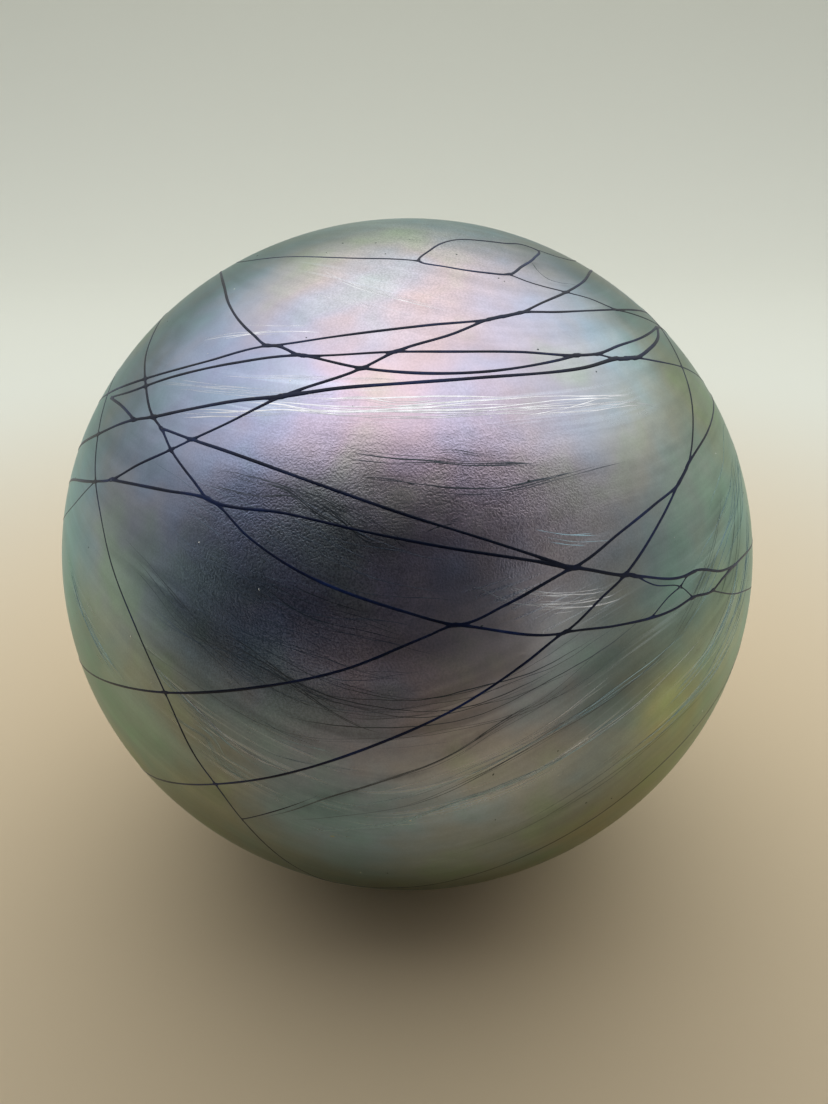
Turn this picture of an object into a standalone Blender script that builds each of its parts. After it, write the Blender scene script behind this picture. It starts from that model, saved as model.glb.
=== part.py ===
"""Art glass bowl: a cased glass globe with a leaning mouth and dark glass trails laid over it.

Metres, +Z up, front -Y. The bowl rests on its ground foot at z = 0 and the origin is in that foot, under
the middle of the globe. The globe is turned about its blowing axis, which leans back from the vertical, so
the mouth opens upwards and to the rear. The trails are glass threads wound on one after another, so a
later trail rides over each earlier one that it crosses. Places on the globe are given as an azimuth, from
the front towards +X, and a latitude, both in degrees.
"""

import math

import bpy
import numpy as np

GLOBE_RADIUS = 0.058
FLATTENING = 0.97  # length along the blowing axis over width
AXIS_LEAN = math.radians(42)  # blowing axis, from +Z towards +Y
MOUTH_ANGLE = math.radians(29)  # from the blowing axis to the lip
FOOT_DEPTH = 0.002  # glass ground off the lowest point to make the foot
CASING_WALL = 0.0034
LINING_WALL = 0.0023
GAP = 0.0003  # between the casing and the lining

TURN_STEPS = 36
MERIDIAN_STEPS = 13
LIP_STEPS = 4
MERGE = 0.00005

TRAIL_CLEARANCE = 0.0005  # from the globe's true skin to a trail's underside
STACK_CLEARANCE = 0.0006  # between a trail and the one it rides over
HUMP_REACH = 0.0045  # how far from a crossing a trail starts to rise
ROUTE_STEP = 0.0005
ROUTE_TOLERANCE = 0.0002

THICK = 0.00036
MEDIUM = 0.00024
THIN = 0.00017
FINE = 0.00012

BLOWING_AXIS = np.array((0.0, math.sin(AXIS_LEAN), math.cos(AXIS_LEAN)))
SQUASH = 1 / FLATTENING**2 - 1
LOWEST = GLOBE_RADIUS * math.hypot(math.sin(AXIS_LEAN), FLATTENING * math.cos(AXIS_LEAN))
GLOBE_HEIGHT = LOWEST - FOOT_DEPTH  # of the globe's middle above the foot

# Each trail: its name, its radius and the places that it runs through, in the order of laying. Trails that
# run together for a stretch share the places at its two ends.
LOOP = "crown_loop"
TRAILS = (
    (LOOP, MEDIUM, (
        (5, 70), (15, 68.2), (27, 66.3), (35, 65.4), (44, 66.7), (57, 68), (70, 69.5),
        (68, 71.5), (58, 73), (46, 75), (33, 76.2), (20, 75.3), (11, 73))),
    ("thick_band", THICK, (
        (165, -12), (150, -2), (130, 16), (112, 29), (94, 40), (77, 48), (60, 47.6), (51, 47.2), (46, 47.9),
        (36, 47.9), (12, 48.4), (0, 48), (-12, 47), (-21.5, 45.3), (-29, 44), (-40, 41), (-47, 38.7),
        (-52, 37.2), (-63.5, 32), (-76, 26), (-94, 16), (-116, 3), (-140, -8), (-165, -14))),
    ("long_sweep", MEDIUM, (
        (-130, 43), (-113, 46.5), (-95, 48.5), (-76, 48), (-64.5, 44.8), (-55.5, 42), (-47, 38.7),
        (-43.5, 37.8), (-39, 35.7), (-32, 32.7), (-29.5, 31.3), (-26.5, 30.8), (-21.5, 27.9), (-15, 25.2),
        (0, 20.7), (5.5, 19), (8, 18.9), (19, 16.4), (21, 16.6), (28, 15.6), (38.5, 14.8), (42.5, 15),
        (47.5, 14.1), (51, 14.6), (56, 14.6), (70, 12), (92, 6), (116, -3), (142, -12), (168, -20))),
    ("upper_band", MEDIUM, (
        (142, 21), (122, 33), (100, 44), (80, 51), (62, 54.5), (50, 56), (39, 57), (28.5, 57.8), (20, 57.2),
        (5, 56.7), (-16, 54.4), (-26.5, 52.5), (-29.5, 52), (-42, 48), (-57, 42.6), (-72, 36.5), (-90, 28),
        (-112, 17), (-136, 8), (-158, 4))),
    ("middle_band", MEDIUM, (
        (-68, 36.8), (-60, 39.7), (-48, 44.7), (-34.5, 48.8), (-21.5, 51.2), (-18, 51.4), (-2, 52.5),
        (9, 52.4), (23, 51.6), (36, 49.8), (41, 49.3), (50, 49.4), (60, 49), (77, 48))),
    ("long_diagonal", MEDIUM, (
        (128, 49), (106, 57), (79, 61), (62, 60.7), (49, 60), (37, 59), (28.5, 57.8), (20, 57.2), (10, 55.1),
        (-2, 52.5), (-8, 50), (-21.5, 45.3), (-30.5, 40.4), (-35.5, 37.7), (-39, 35.7), (-45, 32.4),
        (-51, 28.7), (-56, 27), (-70, 22.5), (-90, 12), (-114, -1), (-140, -12), (-166, -20), (170, -25))),
    ("lower_diagonal", MEDIUM, (
        (-51, 28.7), (-37, 30.7), (-29.5, 31.3), (-26.5, 30.8), (-17, 31.2), (-5, 29.8), (5.5, 28),
        (17, 25.5), (21.5, 24), (23.5, 23.8), (29, 21.5), (31, 21.5), (41, 18.4), (43.5, 18.3), (51, 15.7),
        (56, 14.6))),
    ("left_hook", MEDIUM, (
        (-128, 50), (-112, 55), (-95, 59), (-78, 60.5), (-62, 59.6), (-50, 57.2), (-41, 55), (-34.5, 53.4),
        (-29.5, 52), (-26.5, 52.5), (-21.5, 51.2), (-18, 51.4), (-8, 50), (0, 49.5), (14, 49.2), (30, 49.6),
        (36, 49.8))),
    ("middle_diagonal", MEDIUM, (
        (-43.5, 37.8), (-35.5, 37.7), (-29, 37.4), (-12, 34.9), (0, 31.9), (11, 28.5), (21.5, 24))),
    ("rising_sweep", MEDIUM, (
        (-158, -28), (-130, -25), (-102, -18), (-76, -9.5), (-56, -2.8), (-42, 1.8), (-33, 4.7), (-20, 9.1),
        (-7, 13.6), (2.5, 17.5), (5.5, 19), (8, 18.9), (12.5, 20.8), (21.5, 24), (23.5, 23.8), (30.5, 26.7),
        (38, 28.6), (45, 29.9), (48.5, 31.2), (56, 35.2), (64, 39.5), (68.5, 42.1), (75, 45.2), (88, 49),
        (106, 51), (126, 50))),
    ("falling_sweep", MEDIUM, (
        (158, 4), (138, 15), (116, 25), (94, 31.5), (76, 33.8), (61, 33.2), (48.5, 31.2), (45, 29.9),
        (39, 26.8), (31, 21.5), (29, 21.5), (26, 19.9), (21, 16.6), (19, 16.4), (15, 13.6), (6.5, 8.7),
        (-4.5, 3), (-16.5, -3.4), (-27, -8.8), (-39.5, -15.3), (-50, -20.5), (-68, -28), (-92, -35),
        (-122, -40), (-155, -42))),
    ("meridian_trail", THIN, (
        (-134, 36), (-112, 38), (-90, 38), (-73, 36.5), (-66, 33.4), (-56, 27), (-51, 23.8), (-45.5, 19),
        (-38, 11.8), (-33, 4.7), (-29, -5), (-27, -8.8), (-24.5, -15.7), (-21, -27), (-17, -38), (-10, -54))),
    ("right_branch", THIN, (
        (41, 49.3), (46, 47.9), (51, 47.2), (59, 45.1), (68.5, 42.1), (78, 38), (95, 29), (112, 17), (128, 4))),
    ("crown_left", THIN, ((-122, 60), (-104, 61), (-82, 64), (-52, 69), (-24, 70.4), (5, 70))),
    ("crown_right", THIN, (
        (35, 65.4), (39, 63.4), (49, 60), (55, 58), (62, 54.5), (67, 53), (76, 49.8), (92, 42), (108, 29),
        (122, 14), (134, -2))),
    ("crown_back", THIN, ((70, 69.5), (74, 67), (82, 64.5), (98, 62), (118, 59))),
    ("left_link", MEDIUM, ((-68, 36.8), (-60, 38), (-52, 37.2))),
    ("left_spur", FINE, ((-56, 27), (-62.5, 21.5), (-78, 12), (-98, 3), (-118, -10))),
    ("base_band", FINE, (
        (150, 8), (122, 10), (96, 6), (74, -1), (55.5, -7), (47, -9.8), (38.5, -13.5), (27, -20), (13, -28),
        (1.5, -34.5), (-16, -40), (-38, -45), (-64, -47), (-92, -45))),
    ("right_spur", FINE, ((47.5, 14.1), (54, 11), (62, 8), (80, 0), (100, -10), (124, -20))),
    ("lower_spur", FINE, ((-24.5, -15.7), (-19.5, -12), (-11.5, -6))),
    ("web_long", FINE, ((31, 21.5), (35, 19), (40, 17.3), (42.5, 15))),
    ("web_upper", FINE, ((40, 17.3), (41.3, 18), (43.5, 18.3))),
    ("web_lower", FINE, ((40, 17.3), (37.5, 16.8), (34, 15.2))),
)


def clear_scene():
    for old in list(bpy.data.objects):
        bpy.data.objects.remove(old)


def make_collection(name):
    collection = bpy.data.collections.new(name)
    bpy.context.scene.collection.children.link(collection)
    return collection


def make_material(name, colour, roughness, metallic=0.0):
    material = bpy.data.materials.new(name)
    material.use_nodes = True
    shader = material.node_tree.nodes["Principled BSDF"]
    shader.inputs["Base Color"].default_value = (*colour, 1.0)
    shader.inputs["Roughness"].default_value = roughness
    shader.inputs["Metallic"].default_value = metallic
    return material


def section_point(inset, angle):
    """A point of the turned section: inset from the skin, at an angle from the blowing axis."""
    along = GLOBE_RADIUS * FLATTENING - inset
    across = GLOBE_RADIUS - inset
    return np.array((across * math.sin(angle), along * math.cos(angle)))


def wall_profile(inset, wall):
    """The section of one casing: up its inside, over the rounded lip and down its outside."""
    angles = np.linspace(MOUTH_ANGLE, math.pi, MERIDIAN_STEPS + 1)
    outside = [section_point(inset, angle) for angle in angles]
    inside = [section_point(inset + wall, angle) for angle in reversed(angles)]
    middle = (outside[0] + inside[-1]) / 2
    outward = outside[0] - middle
    to_axis = np.array((-outward[1], outward[0]))
    turns = [math.pi * step / LIP_STEPS for step in range(1, LIP_STEPS)]
    lip = [middle - math.cos(turn) * outward + math.sin(turn) * to_axis for turn in turns]
    return inside + lip + outside


def turned_casing(name, inset, wall, collection, material):
    profile = wall_profile(inset, wall)
    mesh = bpy.data.meshes.new(name)
    edges = [(i, i + 1) for i in range(len(profile) - 1)]
    mesh.from_pydata([(x, 0.0, z) for x, z in profile], edges, [])
    mesh.materials.append(material)
    casing = bpy.data.objects.new(name, mesh)
    collection.objects.link(casing)
    casing.location = (0.0, 0.0, GLOBE_HEIGHT)
    casing.rotation_euler = (-AXIS_LEAN, 0.0, 0.0)
    screw = casing.modifiers.new("turn", "SCREW")
    screw.steps = TURN_STEPS
    screw.render_steps = TURN_STEPS
    screw.use_merge_vertices = True
    screw.merge_threshold = MERGE
    screw.use_smooth_shade = True
    return casing


def grind_foot(casing, cutters):
    """Cut the casing flat at z = 0."""
    size = 2 * GLOBE_RADIUS
    bpy.ops.mesh.primitive_cube_add(size=size, location=(0.0, 0.0, -size / 2))
    wheel = bpy.context.active_object
    wheel.name = "foot_cutter"
    wheel.hide_render = True
    wheel.display_type = "WIRE"
    for holder in list(wheel.users_collection):
        holder.objects.unlink(wheel)
    cutters.objects.link(wheel)
    cut = casing.modifiers.new("ground_foot", "BOOLEAN")
    cut.operation = "DIFFERENCE"
    cut.object = wheel


def direction(place):
    azimuth, latitude = (math.radians(angle) for angle in place)
    level = math.cos(latitude)
    return np.array((math.sin(azimuth) * level, -math.cos(azimuth) * level, math.sin(latitude)))


def lay_route(places, closed):
    """Unit directions along a smooth curve through the places, ROUTE_STEP apart on the globe."""
    knots = np.array([direction(place) for place in places])
    first, last = 0, len(knots) - 1
    if closed:
        knots = np.concatenate((knots[-2:], knots, knots[:3]))
        first, last = 2, len(places) + 2
    spans = np.linalg.norm(np.diff(knots, axis=0), axis=1)
    at = np.concatenate(((0.0,), np.cumsum(spans)))
    slopes = np.gradient(knots, at, axis=0)
    count = round((at[last] - at[first]) * GLOBE_RADIUS / ROUTE_STEP)
    along = np.linspace(at[first], at[last], count + 1)[: None if not closed else -1]
    i = np.clip(np.searchsorted(at, along, side="right") - 1, first, last - 1)
    width = (at[i + 1] - at[i])[:, None]
    t = (along - at[i])[:, None] / width
    curve = (
        (2 * t**3 - 3 * t**2 + 1) * knots[i]
        + (t**3 - 2 * t**2 + t) * width * slopes[i]
        + (3 * t**2 - 2 * t**3) * knots[i + 1]
        + (t**3 - t**2) * width * slopes[i + 1]
    )
    return curve / np.linalg.norm(curve, axis=1)[:, None]


def trail_heights(route, radius, laid):
    """How high the trail's centre line runs over the skin: low, with a smooth hump over earlier trails."""
    low = TRAIL_CLEARANCE + radius
    heights = np.full(len(route), low)
    for other_route, other_heights, other_radius in laid:
        apart = np.linalg.norm(route[:, None] - other_route[None], axis=2) * GLOBE_RADIUS
        over = other_heights + other_radius + radius + STACK_CLEARANCE - low
        hump = np.clip(1 - (apart / HUMP_REACH) ** 2, 0, None) ** 2
        heights = np.maximum(heights, low + (hump * over).max(axis=1))
    return heights


def raise_from_skin(route, heights):
    """Points over the globe's skin at the given directions and heights."""
    along = route @ BLOWING_AXIS
    skin = route * (GLOBE_RADIUS / np.sqrt(1 + SQUASH * along**2))[:, None]
    normal = skin + SQUASH * np.outer(skin @ BLOWING_AXIS, BLOWING_AXIS)
    normal /= np.linalg.norm(normal, axis=1)[:, None]
    return skin + normal * heights[:, None] + (0.0, 0.0, GLOBE_HEIGHT)


def thin_out(points):
    """Keep only the points that the line needs, to within ROUTE_TOLERANCE."""
    start, end = points[0], points[-1]
    chord = end - start
    share = np.clip((points - start) @ chord / max(chord @ chord, 1e-12), 0, 1)
    off = np.linalg.norm(points - start - share[:, None] * chord, axis=1)
    worst = int(off.argmax())
    if off[worst] <= ROUTE_TOLERANCE:
        return [start, end]
    return thin_out(points[: worst + 1])[:-1] + thin_out(points[worst:])


def trail_line(points, closed):
    if not closed:
        return thin_out(points)
    half = len(points) // 2
    return thin_out(points[: half + 1])[:-1] + thin_out(np.concatenate((points[half:], points[:1])))[:-1]


def make_trail(name, radius, points, closed, collection, material):
    curve = bpy.data.curves.new(name, "CURVE")
    curve.dimensions = "3D"
    curve.bevel_depth = radius
    curve.bevel_resolution = 2
    curve.use_fill_caps = True
    spline = curve.splines.new("POLY")
    spline.points.add(len(points) - 1)
    for knot, point in zip(spline.points, points):
        knot.co = (*point, 1.0)
    spline.use_cyclic_u = closed
    curve.materials.append(material)
    trail = bpy.data.objects.new(name, curve)
    collection.objects.link(trail)


def make_trails(collection, material):
    laid = []
    for name, radius, places in TRAILS:
        closed = name == LOOP
        route = lay_route(places, closed)
        heights = trail_heights(route, radius, laid)
        laid.append((route, heights, radius))
        points = trail_line(raise_from_skin(route, heights), closed)
        make_trail(name, radius, points, closed, collection, material)


def main():
    clear_scene()
    bowl = make_collection("art_glass_bowl")
    cutters = make_collection("cutters")
    casing_glass = make_material("casing_glass", (0.25, 0.33, 0.32), 0.32, 0.35)
    lining_glass = make_material("lining_glass", (0.42, 0.55, 0.5), 0.2)
    trail_glass = make_material("trail_glass", (0.01, 0.015, 0.05), 0.25)
    casing = turned_casing("outer_casing", 0.0, CASING_WALL, bowl, casing_glass)
    grind_foot(casing, cutters)
    turned_casing("inner_casing", CASING_WALL + GAP, LINING_WALL, bowl, lining_glass)
    make_trails(bowl, trail_glass)


main()
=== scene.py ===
"""Art glass bowl: the looks.

A cased glass globe stands on its ground foot. Its satin skin is iridised, lilac through blue to sea green,
with pale and dark wisps drawn out in it, and a web of blue-black glass threads is fused over it. Places
on the globe are an azimuth, from the front (-Y) towards +X, and a latitude, in degrees. Lengths are metres.
"""

import math

import bpy
import numpy as np
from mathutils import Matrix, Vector


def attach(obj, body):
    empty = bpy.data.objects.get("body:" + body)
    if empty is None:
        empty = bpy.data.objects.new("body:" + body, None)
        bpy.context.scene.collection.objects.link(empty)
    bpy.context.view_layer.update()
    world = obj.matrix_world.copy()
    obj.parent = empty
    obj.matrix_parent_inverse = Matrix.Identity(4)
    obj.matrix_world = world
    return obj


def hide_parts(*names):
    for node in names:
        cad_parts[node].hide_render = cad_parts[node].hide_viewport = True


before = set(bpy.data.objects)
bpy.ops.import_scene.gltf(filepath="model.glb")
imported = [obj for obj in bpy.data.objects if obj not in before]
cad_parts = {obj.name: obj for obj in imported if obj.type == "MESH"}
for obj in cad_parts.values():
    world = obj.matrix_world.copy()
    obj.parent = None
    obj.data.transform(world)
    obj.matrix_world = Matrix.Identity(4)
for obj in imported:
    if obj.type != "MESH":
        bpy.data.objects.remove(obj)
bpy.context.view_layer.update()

# The globe, with the driving dimensions of the frame's own source.
GLOBE_RADIUS = 0.058
FLATTENING = 0.97  # length along the blowing axis over width
AXIS_LEAN = math.radians(42)  # blowing axis, from +Z towards +Y
MOUTH_ANGLE = math.radians(29)  # from the blowing axis to the lip
FOOT_DEPTH = 0.002
CASING_WALL = 0.0034
LINING_WALL = 0.0023

BLOWING_AXIS = np.array((0.0, math.sin(AXIS_LEAN), math.cos(AXIS_LEAN)))
SIDE_AXIS = np.array((1.0, 0.0, 0.0))
THIRD_AXIS = np.cross(BLOWING_AXIS, SIDE_AXIS)
SQUASH = 1 / FLATTENING**2 - 1
LOWEST = GLOBE_RADIUS * math.hypot(math.sin(AXIS_LEAN), FLATTENING * math.cos(AXIS_LEAN))
CENTRE = np.array((0.0, 0.0, LOWEST - FOOT_DEPTH))

# The skin is set just inside the frame's, so that its relief stays within the frame's box.
SKIN_INSET = 0.00025
SWELL_HEIGHT = 0.00014
RIPPLE_HEIGHT = 0.00002


# ---------------- places on the globe


def unit(vectors):
    return vectors / np.linalg.norm(vectors, axis=1)[:, None]


def direction(place):
    azimuth, latitude = (math.radians(angle) for angle in place)
    level = math.cos(latitude)
    return np.array((math.sin(azimuth) * level, -math.cos(azimuth) * level, math.sin(latitude)))


def nearness(directions, place, reach):
    """From 1 at the place to nearly 0 a few reaches away. The reach is in degrees."""
    return np.exp((directions @ direction(place) - 1) / (1 - math.cos(math.radians(reach))))


def smooth_step(value, low, high):
    t = np.clip((value - low) / (high - low), 0, 1)
    return t * t * (3 - 2 * t)


def wave_field(seed, count, slowest, fastest):
    """A smooth random field over directions: a sum of plane waves, about -1 to 1."""
    rng = np.random.default_rng(seed)
    axes = unit(rng.normal(size=(count, 3)))
    rates = np.linspace(slowest, fastest, count)
    phases = rng.uniform(0, 2 * math.pi, count)
    strengths = slowest / rates

    def field(directions):
        total = np.zeros(len(directions))
        for axis, rate, phase, strength in zip(axes, rates, phases, strengths):
            total += strength * np.sin(rate * (directions @ axis) + phase)
        return total / strengths.sum() * 2

    return field


blown_swell = wave_field(3, 9, 2.5, 9)
satin_ripple = wave_field(11, 14, 14, 40)
flow_warp = wave_field(29, 12, 4, 18)


def skin_offset(directions):
    """How far the handmade skin stands from the true globe."""
    return SWELL_HEIGHT * blown_swell(directions) + RIPPLE_HEIGHT * satin_ripple(directions) - SKIN_INSET


def skin_points(directions, lift=0.0):
    """Points of the skin at the given directions, and the outward normals there."""
    along = directions @ BLOWING_AXIS
    skin = directions * (GLOBE_RADIUS / np.sqrt(1 + SQUASH * along**2))[:, None]
    normals = unit(skin + SQUASH * np.outer(skin @ BLOWING_AXIS, BLOWING_AXIS))
    height = skin_offset(directions) + lift
    return skin + normals * height[:, None] + CENTRE, normals


def smooth_route(places, step, closed=False):
    """Unit directions along a smooth curve through the places, one step apart on the globe."""
    knots = np.array([direction(place) for place in places])
    first, last = 0, len(knots) - 1
    if closed:
        knots = np.concatenate((knots[-2:], knots, knots[:3]))
        first, last = 2, len(places) + 2
    spans = np.linalg.norm(np.diff(knots, axis=0), axis=1)
    at = np.concatenate(((0.0,), np.cumsum(spans)))
    slopes = np.gradient(knots, at, axis=0)
    count = max(3, round((at[last] - at[first]) * GLOBE_RADIUS / step))
    along = np.linspace(at[first], at[last], count + 1)[: -1 if closed else None]
    i = np.clip(np.searchsorted(at, along, side="right") - 1, first, last - 1)
    width = (at[i + 1] - at[i])[:, None]
    t = (along - at[i])[:, None] / width
    curve = (
        (2 * t**3 - 3 * t**2 + 1) * knots[i]
        + (t**3 - 2 * t**2 + t) * width * slopes[i]
        + (3 * t**2 - 2 * t**3) * knots[i + 1]
        + (t**3 - t**2) * width * slopes[i + 1]
    )
    return unit(curve)


def across_route(centres, normals, closed=False):
    """Unit vectors along the skin, square to a route."""
    if closed:
        ahead = np.roll(centres, -1, axis=0) - np.roll(centres, 1, axis=0)
    else:
        ahead = np.gradient(centres, axis=0)
    return unit(np.cross(ahead, normals))


# ---------------- meshes


def new_object(name, data):
    thing = bpy.data.objects.new(name, data)
    bpy.context.scene.collection.objects.link(thing)
    return thing


def mesh_piece(name, vertices, faces, material, smooth=True):
    mesh = bpy.data.meshes.new(name)
    mesh.from_pydata(vertices, [], faces)
    mesh.materials.append(material)
    mesh.validate()
    if smooth:
        mesh.shade_smooth()
    return new_object(name, mesh)


def ring_faces(rings, around, closed_along):
    """Quads that join rings of points, each with `around` points, into a tube."""
    faces = []
    for i in range(rings if closed_along else rings - 1):
        here = i * around
        there = (i + 1) % rings * around
        for j in range(around):
            k = (j + 1) % around
            faces.append((here + j, here + k, there + k, there + j))
    return faces


def join(patches):
    """The points and faces of many small meshes as those of one."""
    points, faces = [], []
    total = 0
    for patch_points, patch_faces in patches:
        points.append(patch_points)
        faces += [tuple(total + i for i in face) for face in patch_faces]
        total += len(patch_points)
    return np.concatenate(points), faces


# ---------------- shader nodes

NOISE_SPAN = (0.3, 0.7)  # where nearly all of a noise's values lie


class Tree:
    """A node tree, with short calls that add a node and give back its output."""

    def __init__(self, tree):
        self.nodes = tree.nodes
        self.links = tree.links

    def plug(self, value, socket):
        """Feed a socket with an output, or set it to a number, a vector or a colour."""
        if isinstance(value, bpy.types.NodeSocket):
            self.links.new(value, socket)
        elif socket.type == "RGBA":
            socket.default_value = (*value, 1.0)
        else:
            socket.default_value = value

    def add(self, kind, output, inputs=(), **settings):
        """Add a node. Inputs are pairs: a socket's name or number, and its value."""
        node = self.nodes.new(kind)
        for name, setting in settings.items():
            setattr(node, name, setting)
        for socket, value in inputs:
            self.plug(value, node.inputs[socket])
        return node.outputs[output]

    def object_place(self):
        return self.add("ShaderNodeTexCoord", "Object")

    def attribute(self, name, output="Fac"):
        return self.add("ShaderNodeAttribute", output, attribute_name=name)

    def math(self, operation, *values):
        return self.add("ShaderNodeMath", "Value", enumerate(values), operation=operation)

    def times(self, first, second):
        return self.math("MULTIPLY", first, second)

    def times_plus(self, first, second, more):
        return self.math("MULTIPLY_ADD", first, second, more)

    def ease(self, value, low, high, to_low=0.0, to_high=1.0):
        """Carry low..high over to to_low..to_high in a smooth step."""
        inputs = (
            ("Value", value), ("From Min", low), ("From Max", high), ("To Min", to_low), ("To Max", to_high))
        return self.add("ShaderNodeMapRange", "Result", inputs, interpolation_type="SMOOTHSTEP")

    def noise(self, place, scale, detail=3.0, roughness=0.5, distortion=0.0):
        inputs = (
            ("Vector", place), ("Scale", scale), ("Detail", detail), ("Roughness", roughness),
            ("Distortion", distortion))
        return self.add("ShaderNodeTexNoise", "Fac", inputs)

    def streaks(self, flow, across, detail, seed):
        """Noise drawn out along the flow. Its features are about 1 / across degrees wide."""
        inputs = ((0, flow), (1, (1.0, 1.0, across)), (2, (seed, seed * 1.7, seed * 0.3)))
        place = self.add("ShaderNodeVectorMath", "Vector", inputs, operation="MULTIPLY_ADD")
        return self.noise(place, 1.0, detail)

    def ramp(self, value, stops):
        ramp = self.nodes.new("ShaderNodeValToRGB")
        elements = ramp.color_ramp.elements
        while len(elements) < len(stops):
            elements.new(0.5)
        for element, (place, colour) in zip(elements, stops):
            element.position = place
            element.color = (*colour, 1.0)
        self.links.new(value, ramp.inputs["Fac"])
        return ramp.outputs["Color"]

    def mix(self, blend, factor, first, second):
        """Mix two colours. 6, 7 and 2 are the colour sockets of a Mix node."""
        inputs = (("Factor", factor), (6, first), (7, second))
        return self.add("ShaderNodeMix", 2, inputs, data_type="RGBA", blend_type=blend)

    def shade(self, colour, tone):
        """A colour, lightened or darkened by a tone."""
        return self.add("ShaderNodeVectorMath", "Vector", ((0, colour), ("Scale", tone)), operation="SCALE")

    def bump(self, height, strength, distance):
        inputs = (("Strength", strength), ("Distance", distance), ("Height", height))
        return self.add("ShaderNodeBump", "Normal", inputs)


def new_material(name):
    """A new material, its tree and its shader's sockets."""
    material = bpy.data.materials.new(name)
    material.use_nodes = True
    tree = material.node_tree
    return material, Tree(tree), tree.nodes["Principled BSDF"].inputs


# ---------------- the skin's fields

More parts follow.
